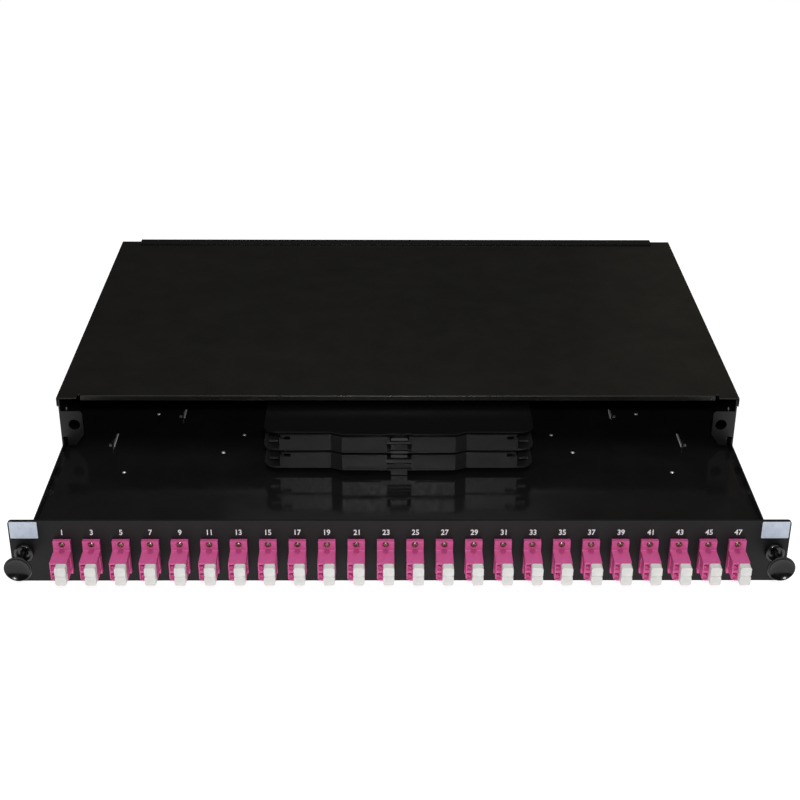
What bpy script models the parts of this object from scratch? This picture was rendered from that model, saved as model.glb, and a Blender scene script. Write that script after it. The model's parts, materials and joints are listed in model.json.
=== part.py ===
"""A 19-inch, one-unit fibre termination box with its drawer pulled out.

A folded steel housing with a lift-off cover holds a sliding drawer. The drawer carries the front panel
with its row of duplex adapters and dust caps, two push-in plungers in their grommets, and a stack of two
splice trays under a lid.

Metres, +Z up, +Y to the rear, +X to the right of someone facing the front panel. The origin is the centre
of the housing's underside. The drawer's own frame starts at the panel's front face, on the same underside
level, so its pieces are given as distances behind the panel.
"""

import math

import bmesh
import bpy
from mathutils import Matrix, Vector

OBJECT_NAME = "fibre_termination_box"

# Clearances and sheet.
GAP = 0.0003
SHEET = 0.0010
OVERSHOOT = 0.0050

# Housing and cover.
COVER_WIDTH = 0.4880
HOUSING_DEPTH = 0.3090
COVER_TOP = 0.0432
COVER_FLANGE = 0.0060
COVER_LIP_DROP = 0.0030
COVER_LIP_SETBACK = 0.0038
COVER_LIP_HALF = 0.2275
RELIEF_WIDTH = 0.0018
RELIEF_DEPTH = 0.0022
REAR_FLANGE_HALF = 0.2270
REAR_FLANGE_DEPTH = 0.0105
REAR_FLANGE_TOP = 0.0445

# Locking tabs, folded inwards from the housing's side walls.
TAB_INNER_X = 0.2264
TAB_BOTTOM = 0.0050
TAB_TOP = 0.0326
TAB_CHAMFER_X = 0.0064
TAB_CHAMFER_Z = 0.0088
TAB_CORNER = 0.0028
TAB_NOTCH_X = 0.0034
TAB_NOTCH_TOP = 0.0120
LOCK_X = 0.2326
LOCK_Z = 0.0218
LOCK_HOLE_RADIUS = 0.0041

# Cable gland in the rear wall.
GLAND_X = -0.1750
GLAND_Z = 0.0215
GLAND_BORE_RADIUS = 0.0048
GLAND_THREAD_RADIUS = 0.0095
GLAND_FLANGE_RADIUS = 0.0125
GLAND_NUT_RADIUS = 0.0118
GLAND_INSIDE = 0.0100
GLAND_FLANGE_LENGTH = 0.0040
GLAND_OUTSIDE = 0.0200

# Drawer.
DRAWER_OUT = 0.1665
DRAWER_DEPTH = 0.2850
DRAWER_SIDE_CLEARANCE = 0.0004
DRAWER_SHEET = 0.0012
DRAWER_BOTTOM = 0.0014
DRAWER_LIP_TOP = 0.0082
DRAWER_FRONT_LIP_TOP = 0.0046
TIE_FIN_HEIGHT = 0.0050
TIE_FIN_THICKNESS = 0.0012
# Each fin pair: distance from the middle, start behind the panel, length.
TIE_FINS = ((0.2068, 0.1680, 0.0200), (0.1613, 0.2130, 0.0140))

# Front panel.
PANEL_WIDTH = 0.4826
PANEL_HEIGHT = 0.0439
PANEL_THICKNESS = 0.0016
PANEL_BOTTOM = 0.0
PANEL_CORNER = 0.0022

# Adapters, with the port pair stacked vertically.
ADAPTER_COUNT = 24
ADAPTER_PITCH = 0.01815
ADAPTER_Z = 0.0177
ADAPTER_WIDTH = 0.0106
ADAPTER_FLANGE_RISE = 0.0133
ADAPTER_FLANGE_DROP = 0.0102
ADAPTER_FLANGE = 0.0030
ADAPTER_BODY_HEIGHT = 0.0130
ADAPTER_FRONT = 0.0170
ADAPTER_REAR = 0.0160
ADAPTER_REAR_WIDTH = 0.0092
ADAPTER_REAR_HEIGHT = 0.0126
ADAPTER_FILLET = 0.0016
ADAPTER_EDGE = 0.0006
PORT_RECESS = 0.0032
PORT_PITCH = 0.00625
PORT_SIDE = 0.0046
LATCH_SLOT_WIDTH = 0.0022
LATCH_SLOT_HEIGHT = 0.0030

# Dust caps, each closing both ports of an adapter.
CAP_WIDTH = 0.0068
CAP_HEIGHT = 0.0126
CAP_LENGTH = 0.0052
CAP_OFFSET_X = 0.00190
CAP_CORNER = 0.0010
CAP_WAIST = 0.0005
CAP_WAIST_HEIGHT = 0.0012

# Plungers and their grommets.
PLUNGER_HEAD_RADIUS = 0.00875
PLUNGER_HEAD_FRONT = 0.0205
PLUNGER_HEAD_THICKNESS = 0.0030
PLUNGER_DISH = 0.0009
PLUNGER_DISH_RADIUS = 0.0048
PLUNGER_CREST_RADIUS = 0.0079
PLUNGER_SKIRT_RADIUS = 0.0084
PLUNGER_BACK_RADIUS = 0.0052
PLUNGER_NECK_RADIUS = 0.0030
PLUNGER_STEM_RADIUS = 0.0022
PLUNGER_POINT_RADIUS = 0.0011
PLUNGER_TIP = 0.0050
PLUNGER_TRAVEL = 0.0090
GROMMET_RIM_RADIUS = 0.0060
GROMMET_RIM_FACE_RADIUS = 0.0055
GROMMET_RIM_LENGTH = 0.0034
GROMMET_EDGE = 0.0009
GROMMET_CUP_RADIUS = 0.0044
GROMMET_CUP_FLOOR_RADIUS = 0.0042
GROMMET_CUP_FLOOR = 0.0015
GROMMET_BARREL_RADIUS = 0.0038
GROMMET_BARREL_TIP_RADIUS = 0.0034
GROMMET_BORE_RADIUS = 0.0026
GROMMET_REAR = 0.0075

# Splice trays: the same stepped outline for both trays and for the lid.
TRAY_FRONT = 0.1270
TRAY_STEP = 0.0037
TRAY_REAR = 0.2600
TRAY_HALF_WIDTH = 0.0945
TRAY_NOSE_HALF = 0.0395
TRAY_NOSE_SLOPE = 0.0078
TRAY_CHEEK_HALF = 0.0840
TRAY_CHEEK_RAKE = 0.0003
TRAY_CHEEK_DEPTH = 0.0105
TRAY_CHEEK_BREAK = 0.0058
TRAY_REAR_RADIUS = 0.0120
TRAY_WALL = 0.0018
TRAY_FLOOR = 0.0016
LOWER_TRAY_BOTTOM = 0.0058
LOWER_TRAY_TOP = 0.0197
UPPER_TRAY_BOTTOM = 0.0206
UPPER_TRAY_TOP = 0.0330
LID_TOP = 0.0352
FOOT_HALF = 0.0060
ENTRY_WIDTH = 0.0075
SPLICE_RIB_LENGTH = 0.0400
SPLICE_RIB_HEIGHT = 0.0060
SPLICE_RIB_THICKNESS = 0.0030
SPLICE_RIB_X = 0.0450

# Facets of a full circle on turned pieces and round holes, and of a quarter circle on corners.
ROUND_STEPS = 24
HOLE_STEPS = 20
HEXAGON_STEPS = 6
ARC_STEPS = 4
CAP_ARC_STEPS = 3

# Mesh clean-up: points closer than this are one, flatter faces are joined, sharper edges stay sharp.
WELD = 1e-6
FLAT_ANGLE = math.radians(0.1)
TURN_WELD = 0.00001
SHARP_ANGLE = math.radians(40)

# Derived places.
HOUSING_FRONT = -HOUSING_DEPTH / 2
HOUSING_REAR = HOUSING_DEPTH / 2
COVER_UNDERSIDE = COVER_TOP - SHEET
WALL_OUTER = COVER_WIDTH / 2 - SHEET - GAP
WALL_INNER = WALL_OUTER - SHEET
WALL_TOP = COVER_UNDERSIDE - GAP
DRAWER_FLOOR = DRAWER_BOTTOM + DRAWER_SHEET
DRAWER_HALF = WALL_INNER - DRAWER_SIDE_CLEARANCE
DRAWER_FRONT = PANEL_THICKNESS + GAP

# Colours (linear RGB), roughness and metallic value.
BLACK_COAT = ((0.012, 0.012, 0.012), 0.42, 0.0)
PANEL_COAT = ((0.022, 0.022, 0.023), 0.55, 0.0)
TRAY_PLASTIC = ((0.016, 0.016, 0.017), 0.45, 0.0)
GLOSS_BLACK = ((0.014, 0.014, 0.015), 0.22, 0.0)
HEATHER_VIOLET = ((0.60, 0.07, 0.28), 0.38, 0.0)
CAP_WHITE = ((0.82, 0.82, 0.80), 0.45, 0.0)


def clear_scene():
    """Remove every object of the start-up scene."""
    for obj in list(bpy.data.objects):
        bpy.data.objects.remove(obj, do_unlink=True)


def collection(name):
    """A new collection in the scene."""
    made = bpy.data.collections.new(name)
    bpy.context.scene.collection.children.link(made)
    return made


def principled(name, finish):
    """A Principled material from (colour, roughness, metallic)."""
    colour, roughness, metallic = finish
    made = bpy.data.materials.new(name)
    made.use_nodes = True
    shader = made.node_tree.nodes["Principled BSDF"]
    shader.inputs["Base Color"].default_value = (*colour, 1.0)
    shader.inputs["Roughness"].default_value = roughness
    shader.inputs["Metallic"].default_value = metallic
    return made


class Builder:
    """Places parts and cutters in their collections, under one parent."""

    def __init__(self, parts, cutters, parent=None):
        self.parts = parts
        self.cutters = cutters
        self.parent = parent

    def place(self, name, mesh, target):
        obj = bpy.data.objects.new(name, mesh)
        obj.parent = self.parent
        target.objects.link(obj)
        return obj

    def part(self, name, mesh, material):
        """A visible piece with its own material."""
        obj = self.place(name, mesh, self.parts)
        mesh.materials.clear()
        mesh.materials.append(material)
        return obj

    def combine(self, obj, mesh, operation):
        """Add a Boolean with a hidden helper made from the mesh."""
        helper = self.place(obj.name + "_" + operation.lower(), mesh, self.cutters)
        helper.hide_render = True
        helper.display_type = "WIRE"
        modifier = obj.modifiers.new(operation.title(), "BOOLEAN")
        modifier.operation = operation
        modifier.solver = "EXACT"
        modifier.object = helper

    def cut(self, obj, mesh):
        self.combine(obj, mesh, "DIFFERENCE")

    def fuse(self, obj, mesh):
        self.combine(obj, mesh, "UNION")


def frozen(obj):
    """The object's mesh with its modifiers applied."""
    bpy.context.view_layer.update()
    graph = bpy.context.evaluated_depsgraph_get()
    return bpy.data.meshes.new_from_object(obj.evaluated_get(graph))


def block(low, high):
    """A box mesh between two corners."""
    low = Vector(low)
    high = Vector(high)
    bm = bmesh.new()
    place = Matrix.Translation((low + high) / 2) @ Matrix.Diagonal((*(high - low), 1.0))
    bmesh.ops.create_cube(bm, size=1.0, matrix=place)
    mesh = bpy.data.meshes.new("block")
    bm.to_mesh(mesh)
    bm.free()
    return mesh


def merged(meshes):
    """Several separate meshes in one, for a cutter that cuts in many places."""
    bm = bmesh.new()
    for mesh in meshes:
        bm.from_mesh(mesh)
    made = bpy.data.meshes.new("merged")
    bm.to_mesh(made)
    bm.free()
    return made


def mirrored_x(mesh):
    """A copy of the mesh reflected to the other side of the middle plane."""
    copy = mesh.copy()
    copy.transform(Matrix.Diagonal((-1.0, 1.0, 1.0, 1.0)))
    copy.flip_normals()
    return copy


def arc(centre, radius, start, end, steps=ARC_STEPS):
    """Points on an arc, angles in degrees, both ends included."""
    turn = [math.radians(start + (end - start) * i / steps) for i in range(steps + 1)]
    return [(centre[0] + radius * math.cos(a), centre[1] + radius * math.sin(a)) for a in turn]


def rounded_rectangle(low, high, radius):
    """The outline of a rectangle with four round corners, anticlockwise."""
    left, bottom = low[0] + radius, low[1] + radius
    right, top = high[0] - radius, high[1] - radius
    return (
        arc((right, bottom), radius, -90, 0)
        + arc((right, top), radius, 0, 90)
        + arc((left, top), radius, 90, 180)
        + arc((left, bottom), radius, 180, 270)
    )


# How an outline drawn in a curve's own plane stands in the model, by the axis it is extruded along.
EXTRUDE_FRAMES = {
    "X": Matrix(((0, 0, 1, 0), (1, 0, 0, 0), (0, 1, 0, 0), (0, 0, 0, 1))),
    "Y": Matrix(((1, 0, 0, 0), (0, 0, -1, 0), (0, 1, 0, 0), (0, 0, 0, 1))),
    "Z": Matrix.Identity(4),
}


def extruded(outline, axis, low, high):
    """A flat outline, extruded along an axis from low to high."""
    curve = bpy.data.curves.new("outline", "CURVE")
    curve.dimensions = "2D"
    curve.fill_mode = "BOTH"
    curve.extrude = (high - low) / 2
    spline = curve.splines.new("POLY")
    spline.points.add(len(outline) - 1)
    for point, (u, v) in zip(spline.points, outline):
        point.co = (u, v, 0.0, 1.0)
    spline.use_cyclic_u = True
    guide = bpy.data.objects.new("outline", curve)
    bpy.context.scene.collection.objects.link(guide)
    mesh = frozen(guide)
    bpy.data.objects.remove(guide, do_unlink=True)
    bpy.data.curves.remove(curve)
    bm = bmesh.new()
    bm.from_mesh(mesh)
    bmesh.ops.remove_doubles(bm, verts=bm.verts, dist=WELD)
    bmesh.ops.dissolve_degenerate(bm, edges=bm.edges, dist=WELD)
    bmesh.ops.dissolve_limit(bm, angle_limit=FLAT_ANGLE, verts=bm.verts, edges=bm.edges)
    bmesh.ops.recalc_face_normals(bm, faces=bm.faces)
    bm.to_mesh(mesh)
    bm.free()
    shift = {"X": (1, 0, 0), "Y": (0, 1, 0), "Z": (0, 0, 1)}[axis]
    mesh.transform(Matrix.Translation(Vector(shift) * (low + high) / 2) @ EXTRUDE_FRAMES[axis])
    return mesh


def cylinder(centre, radius, low, high, steps=HOLE_STEPS):
    """A bar along Y at (x, z), smooth round its side unless it is a hexagon."""
    bm = bmesh.new()
    place = Matrix.Translation((centre[0], (low + high) / 2, centre[1]))
    turn = Matrix.Rotation(math.pi / 2, 4, "X")
    bmesh.ops.create_cone(
        bm,
        cap_ends=True,
        segments=steps,
        radius1=radius,
        radius2=radius,
        depth=high - low,
        matrix=place @ turn,
    )
    for face in bm.faces:
        face.smooth = steps > HEXAGON_STEPS and len(face.verts) == 4
    mesh = bpy.data.meshes.new("cylinder")
    bm.to_mesh(mesh)
    bm.free()
    return mesh


def turned(builder, name, profile, material, closed=False):
    """A turned piece on the Y axis, smooth but for its steps. Profile points are (radius, distance in
    front), outer side from the front backwards."""
    mesh = bpy.data.meshes.new(name + "_profile")
    last = len(profile)
    edges = [(i, i + 1) for i in range(last - 1)]
    if closed:
        edges.append((last - 1, 0))
    mesh.from_pydata([(radius, 0.0, front) for radius, front in profile], edges, [])
    guide = builder.place(name + "_profile", mesh, builder.cutters)
    screw = guide.modifiers.new("Turn", "SCREW")
    screw.axis = "Z"
    screw.steps = ROUND_STEPS
    screw.render_steps = ROUND_STEPS
    screw.use_merge_vertices = True
    screw.merge_threshold = TURN_WELD
    screw.use_smooth_shade = True
    body = frozen(guide)
    bpy.data.objects.remove(guide, do_unlink=True)
    body.transform(Matrix.Rotation(math.pi / 2, 4, "X"))
    body.set_sharp_from_angle(angle=SHARP_ANGLE)
    return builder.part(name, body, material)


def tab_outline():
    """The right-hand locking tab seen from the front, joined to the side wall at its outer edge."""
    root = WALL_INNER + SHEET / 2
    notch = WALL_INNER - TAB_NOTCH_X
    top_centre = (TAB_INNER_X + TAB_CORNER, TAB_TOP - TAB_CORNER)
    return [
        (root, TAB_TOP),
        *arc(top_centre, TAB_CORNER, 90, 180),
        (TAB_INNER_X, TAB_BOTTOM + TAB_CHAMFER_Z),
        (TAB_INNER_X + TAB_CHAMFER_X, TAB_BOTTOM),
        (notch, TAB_BOTTOM),
        (notch, TAB_NOTCH_TOP),
        (root, TAB_NOTCH_TOP),
    ]


def build_housing(builder):
    """Bottom, side walls, rear wall with its folded top flange, and the two locking tabs."""
    shell = block((-WALL_OUTER, HOUSING_FRONT, 0.0), (WALL_OUTER, HOUSING_REAR, WALL_TOP))
    housing = builder.part("housing", shell, principled("housing_coat", BLACK_COAT))
    cavity = block(
        (-WALL_INNER, HOUSING_FRONT - OVERSHOOT, SHEET),
        (WALL_INNER, HOUSING_REAR - SHEET, WALL_TOP + OVERSHOOT),
    )
    builder.cut(housing, cavity)
    rise = block(
        (-REAR_FLANGE_HALF, HOUSING_REAR - SHEET, WALL_TOP - OVERSHOOT),
        (REAR_FLANGE_HALF, HOUSING_REAR, REAR_FLANGE_TOP),
    )
    builder.fuse(housing, rise)
    flange = block(
        (-REAR_FLANGE_HALF, HOUSING_REAR - REAR_FLANGE_DEPTH, COVER_TOP + GAP),
        (REAR_FLANGE_HALF, HOUSING_REAR - SHEET / 2, REAR_FLANGE_TOP),
    )
    builder.fuse(housing, flange)
    tab = extruded(tab_outline(), "Y", HOUSING_FRONT, HOUSING_FRONT + SHEET)
    builder.fuse(housing, merged([tab, mirrored_x(tab)]))
    front, back = HOUSING_FRONT - OVERSHOOT, HOUSING_FRONT + OVERSHOOT
    hole = cylinder((LOCK_X, LOCK_Z), LOCK_HOLE_RADIUS, front, back)
    builder.cut(housing, merged([hole, mirrored_x(hole)]))
    entry = cylinder(
        (GLAND_X, GLAND_Z),
        GLAND_THREAD_RADIUS + GAP,
        HOUSING_REAR - OVERSHOOT,
        HOUSING_REAR + OVERSHOOT,
    )
    builder.cut(housing, entry)


def build_cover(builder):
    """Flat plate with two side flanges, and a folded front lip that stops short of the corners."""
    half = COVER_WIDTH / 2
    rear = HOUSING_REAR - SHEET - GAP
    shell = block((-half, HOUSING_FRONT, COVER_UNDERSIDE - COVER_FLANGE), (half, rear, COVER_TOP))
    cover = builder.part("top_cover", shell, principled("cover_coat", BLACK_COAT))
    under = block(
        (SHEET - half, HOUSING_FRONT - OVERSHOOT, -OVERSHOOT),
        (half - SHEET, rear + OVERSHOOT, COVER_UNDERSIDE),
    )
    builder.cut(cover, under)
    lip_front = HOUSING_FRONT + COVER_LIP_SETBACK
    recess_half = COVER_LIP_HALF + RELIEF_WIDTH
    recess = block(
        (-recess_half, HOUSING_FRONT - OVERSHOOT, 0.0),
        (recess_half, lip_front + RELIEF_DEPTH, COVER_TOP + OVERSHOOT),
    )
    builder.cut(cover, recess)
    plate = block(
        (-COVER_LIP_HALF, lip_front, COVER_UNDERSIDE),
        (COVER_LIP_HALF, lip_front + RELIEF_DEPTH + OVERSHOOT, COVER_TOP),
    )
    builder.fuse(cover, plate)
    lip = block(
        (-COVER_LIP_HALF, lip_front, COVER_UNDERSIDE - COVER_LIP_DROP),
        (COVER_LIP_HALF, lip_front + SHEET, COVER_TOP - SHEET / 2),
    )
    builder.fuse(cover, lip)


def build_gland(builder):
    """Screwed cable gland through the rear wall, with a clear bore."""
    wall = HOUSING_REAR
    inside = HOUSING_REAR - SHEET - GLAND_INSIDE
    flange_start = wall + GAP
    nut_start = flange_start + GLAND_FLANGE_LENGTH
    nut_end = wall + GLAND_OUTSIDE
    centre = (GLAND_X, GLAND_Z)
    thread = cylinder(centre, GLAND_THREAD_RADIUS, inside, nut_start, ROUND_STEPS)
    gland = builder.part("cable_gland", thread, principled("gland_plastic", TRAY_PLASTIC))
    flange = cylinder(centre, GLAND_FLANGE_RADIUS, flange_start, nut_start, HEXAGON_STEPS)
    builder.fuse(gland, flange)
    builder.fuse(gland, cylinder(centre, GLAND_NUT_RADIUS, nut_start - GAP, nut_end, ROUND_STEPS))
    bore = cylinder(centre, GLAND_BORE_RADIUS, inside - OVERSHOOT, nut_end + OVERSHOOT)
    builder.cut(gland, bore)


def build_drawer_tray(builder):
    """Drawer floor with low lips all round and four upright tie fins."""
    shell = block(
        (-DRAWER_HALF, DRAWER_FRONT, DRAWER_BOTTOM), (DRAWER_HALF, DRAWER_DEPTH, DRAWER_LIP_TOP)
    )
    tray = builder.part("drawer_tray", shell, principled("drawer_coat", BLACK_COAT))
    inner_x = DRAWER_HALF - DRAWER_SHEET
    inside = block(
        (-inner_x, DRAWER_FRONT + DRAWER_SHEET, DRAWER_FLOOR),
        (inner_x, DRAWER_DEPTH - DRAWER_SHEET, DRAWER_LIP_TOP + OVERSHOOT),
    )
    builder.cut(tray, inside)
    front_trim = block(
        (-inner_x, DRAWER_FRONT - OVERSHOOT, DRAWER_FRONT_LIP_TOP),
        (inner_x, DRAWER_FRONT + OVERSHOOT, DRAWER_LIP_TOP + OVERSHOOT),
    )
    builder.cut(tray, front_trim)
    for x, start, length in TIE_FINS:
        fin = block(
            (x - TIE_FIN_THICKNESS / 2, start, DRAWER_FLOOR - DRAWER_SHEET / 2),
            (x + TIE_FIN_THICKNESS / 2, start + length, DRAWER_FLOOR + TIE_FIN_HEIGHT),
        )
        builder.fuse(tray, merged([fin, mirrored_x(fin)]))


def adapter_places():
    """The middle of each adapter along the panel, from left to right."""
    middle = (ADAPTER_COUNT - 1) / 2
    return [(i - middle) * ADAPTER_PITCH for i in range(ADAPTER_COUNT)]


def build_front_panel(builder):
    """Flat panel with an adapter cut-out per adapter and two plunger holes."""
    half = PANEL_WIDTH / 2
    top = PANEL_BOTTOM + PANEL_HEIGHT
    outline = rounded_rectangle((-half, PANEL_BOTTOM), (half, top), PANEL_CORNER)
    plate = extruded(outline, "Y", 0.0, PANEL_THICKNESS)
    panel = builder.part("front_panel", plate, principled("panel_coat", PANEL_COAT))
    half_x = ADAPTER_REAR_WIDTH / 2 + GAP
    half_z = ADAPTER_REAR_HEIGHT / 2 + GAP
    windows = [
        block(
            (x - half_x, -OVERSHOOT, ADAPTER_Z - half_z), (x + half_x, OVERSHOOT, ADAPTER_Z + half_z)
        )
        for x in adapter_places()
    ]
    builder.cut(panel, merged(windows))
    hole = cylinder((LOCK_X, LOCK_Z), GROMMET_BARREL_RADIUS + GAP, -OVERSHOOT, OVERSHOOT)
    builder.cut(panel, merged([hole, mirrored_x(hole)]))


def adapter_profile():
    """The adapter's front half seen from the side, as (distance behind the panel, height)."""
    back = -GAP
    face = back - ADAPTER_FLANGE
    nose = -ADAPTER_FRONT
    flange_top = ADAPTER_FLANGE_RISE
    flange_foot = -ADAPTER_FLANGE_DROP
    body = ADAPTER_BODY_HEIGHT / 2
    edge = ADAPTER_EDGE
    return [
        (back, flange_top),
        (face + edge, flange_top),
        (face, flange_top - edge),
        *arc((face - ADAPTER_FILLET, body + ADAPTER_FILLET), ADAPTER_FILLET, 0, -90),
        (nose + edge, body),
        (nose, body - edge),
        (nose, edge - body),
        (nose + edge, -body),
        (face, -body),
        (face, flange_foot + edge),
        (face + edge, flange_foot),
        (back, flange_foot),
    ]


def adapter_mesh(builder):
    """One adapter about its own middle: stepped front, rear half, shallow port pocket, latch slots."""
    half = ADAPTER_WIDTH / 2
    front = extruded(adapter_profile(), "X", -half, half)
    model = builder.part("adapter_pattern", front, principled("adapter_plastic", HEATHER_VIOLET))
    rear_x = ADAPTER_REAR_WIDTH / 2
    rear_z = ADAPTER_REAR_HEIGHT / 2
    rear = block((-rear_x, -ADAPTER_FLANGE / 2, -rear_z), (rear_x, ADAPTER_REAR, rear_z))
    builder.fuse(model, rear)
    nose = -ADAPTER_FRONT
    side = PORT_SIDE / 2
    pockets = []
    for sign in (-1, 1):
        z = sign * PORT_PITCH / 2
        pockets.append(
            block(
                (CAP_OFFSET_X - side, nose - OVERSHOOT, z - side),
                (CAP_OFFSET_X + side, nose + PORT_RECESS, z + side),
            )
        )
        pockets.append(
            block(
                (CAP_OFFSET_X - side - LATCH_SLOT_WIDTH, nose - OVERSHOOT, z - LATCH_SLOT_HEIGHT / 2),
                (CAP_OFFSET_X - side + GAP, nose + PORT_RECESS, z + LATCH_SLOT_HEIGHT / 2),
            )
        )
        pockets.append(
            block((-side, ADAPTER_REAR - PORT_RECESS, z - side), (side, ADAPTER_REAR + OVERSHOOT, z + side))
        )
    for pocket in pockets:
        builder.cut(model, pocket)
    mesh = frozen(model)
    remove_with_helpers(model)
    return mesh


def remove_with_helpers(obj):
    """Remove a pattern object and the helpers its Booleans used."""
    helpers = [modifier.object for modifier in obj.modifiers if modifier.type == "BOOLEAN"]
    for helper in [*helpers, obj]:
        bpy.data.objects.remove(helper, do_unlink=True)


def cap_outline():
    """The dust cap seen from the front: round corners and a small waist on each side."""
    half_x = CAP_WIDTH / 2
    half_z = CAP_HEIGHT / 2
    waist = CAP_WAIST_HEIGHT / 2
    right = [
        *arc((half_x - CAP_CORNER, CAP_CORNER - half_z), CAP_CORNER, -90, 0, CAP_ARC_STEPS),
        (half_x, -waist),
        (half_x - CAP_WAIST, 0.0),
        (half_x, waist),
        *arc((half_x - CAP_CORNER, half_z - CAP_CORNER), CAP_CORNER, 0, 90, CAP_ARC_STEPS),
    ]
    return right + [(-x, z) for x, z in reversed(right)]


def cap_mesh(builder):
    """One dust cap, its two plugs reaching into the adapter's ports."""
    nose = -ADAPTER_FRONT - GAP
    plastic = principled("cap_plastic", CAP_WHITE)
    head = extruded(cap_outline(), "Y", nose - CAP_LENGTH, nose)
    model = builder.part("cap_pattern", head, plastic)
    side = PORT_SIDE / 2 - GAP
    for sign in (-1, 1):
        z = sign * PORT_PITCH / 2
        plug = block(
            (-side, nose - CAP_LENGTH / 2, z - side), (side, nose + PORT_RECESS - GAP, z + side)
        )
        builder.fuse(model, plug)
    mesh = frozen(model)
    remove_with_helpers(model)
    return mesh


def build_adapters(builder):
    """Every adapter and its dust cap, numbered from the left."""
    adapter = adapter_mesh(builder)
    cap = cap_mesh(builder)
    for number, x in enumerate(adapter_places(), start=1):
        body = builder.place(f"adapter_{number:02d}", adapter, builder.parts)
        body.location = (x, 0.0, ADAPTER_Z)
        cover = builder.place(f"dust_cap_{number:02d}", cap, builder.parts)
        cover.location = (x + CAP_OFFSET_X, 0.0, ADAPTER_Z)


def plunger_profile():
    """Dished head, neck and stem, as (radius, distance in front of the panel)."""
    front = PLUNGER_HEAD_FRONT
    back = front - PLUNGER_HEAD_THICKNESS
    neck_end = GROMMET_RIM_LENGTH + GAP + PLUNGER_TRAVEL
    return [
        (0.0, front - PLUNGER_DISH),
        (PLUNGER_DISH_RADIUS, front - PLUNGER_DISH / 2),
        (PLUNGER_CREST_RADIUS, front),
        (PLUNGER_HEAD_RADIUS, front - PLUNGER_DISH),
        (PLUNGER_SKIRT_RADIUS, back + PLUNGER_DISH),
        (PLUNGER_BACK_RADIUS, back),
        (PLUNGER_NECK_RADIUS, back - PLUNGER_DISH),
        (PLUNGER_NECK_RADIUS, neck_end),
        (PLUNGER_STEM_RADIUS, neck_end - PLUNGER_DISH),
        (PLUNGER_STEM_RADIUS, -PLUNGER_TIP + PLUNGER_DISH),
        (PLUNGER_POINT_RADIUS, -PLUNGER_TIP),
        (0.0, -PLUNGER_TIP),
    ]


def grommet_profile():
    """Cupped rim in front of the panel and a barrel through it, as (radius, distance in front)."""
    rim_front = GAP + GROMMET_RIM_LENGTH
    return [
        (GROMMET_CUP_RADIUS, rim_front),
        (GROMMET_RIM_FACE_RADIUS, rim_front),
        (GROMMET_RIM_RADIUS, rim_front - GROMMET_EDGE),
        (GROMMET_RIM_RADIUS, GAP),
        (GROMMET_BARREL_RADIUS, GAP),
        (GROMMET_BARREL_RADIUS, GROMMET_EDGE - GROMMET_REAR),
        (GROMMET_BARREL_TIP_RADIUS, -GROMMET_REAR),
        (GROMMET_BORE_RADIUS, -GROMMET_REAR),
        (GROMMET_BORE_RADIUS, GROMMET_CUP_FLOOR),
        (GROMMET_CUP_FLOOR_RADIUS, GROMMET_CUP_FLOOR),
    ]


def build_plungers(builder):
    """A grommet and its plunger at each end of the panel."""
    rubber = principled("grommet_plastic", GLOSS_BLACK)
    nylon = principled("plunger_plastic", GLOSS_BLACK)
    for side, x in (("left", -LOCK_X), ("right", LOCK_X)):
        grommet = turned(builder, f"grommet_{side}", grommet_profile(), rubber, closed=True)
        grommet.location = (x, 0.0, LOCK_Z)
        plunger = turned(builder, f"plunger_{side}", plunger_profile(), nylon)
        plunger.location = (x, 0.0, LOCK_Z)


def tray_outline(inset):
    """The splice tray seen from above: stepped nose, cut cheeks, round rear corners."""
    right = TRAY_HALF_WIDTH - inset
    rear = TRAY_REAR - inset
    radius = TRAY_REAR_RADIUS - inset
    front = TRAY_FRONT + inset
    half = [
        (TRAY_NOSE_HALF, front),
        (TRAY_NOSE_HALF + TRAY_NOSE_SLOPE, front + TRAY_STEP),
        (TRAY_CHEEK_HALF - inset, front + TRAY_STEP + TRAY_CHEEK_RAKE),
        (right - inset, front + TRAY_STEP + TRAY_CHEEK_BREAK),
        (right, front + TRAY_STEP + TRAY_CHEEK_DEPTH),
        *arc((right - radius, rear - radius), radius, 0, 90),
    ]
    return half + [(-x, y) for x, y in reversed(half)]


def build_splice_tray(builder, name, bottom, top):
    """An open tray with two splice ribs and a fibre entry behind each front cheek."""
    shell = extruded(tray_outline(0.0), "Z", bottom, top)
    tray = builder.part(name, shell, principled(name + "_plastic", TRAY_PLASTIC))
    floor = bottom + TRAY_FLOOR
    hollow = extruded(tray_outline(TRAY_WALL), "Z", floor, top + OVERSHOOT)
    builder.cut(tray, hollow)
    entry_y = TRAY_FRONT + TRAY_STEP + TRAY_CHEEK_DEPTH + TRAY_WALL + GAP
    entry = block(
        (TRAY_HALF_WIDTH - TRAY_WALL - GAP, entry_y, floor + TRAY_FLOOR),
        (TRAY_HALF_WIDTH + OVERSHOOT, entry_y + ENTRY_WIDTH, top + OVERSHOOT),
    )
    builder.cut(tray, merged([entry, mirrored_x(entry)]))
    middle = (TRAY_FRONT + TRAY_REAR) / 2
    rib_x = SPLICE_RIB_THICKNESS / 2
    rib = block(
        (SPLICE_RIB_X - rib_x, middle - SPLICE_RIB_LENGTH / 2, floor - TRAY_FLOOR / 2),
        (SPLICE_RIB_X + rib_x, middle + SPLICE_RIB_LENGTH / 2, floor + SPLICE_RIB_HEIGHT),
    )
    builder.fuse(tray, merged([rib, mirrored_x(rib)]))
    return tray


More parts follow.
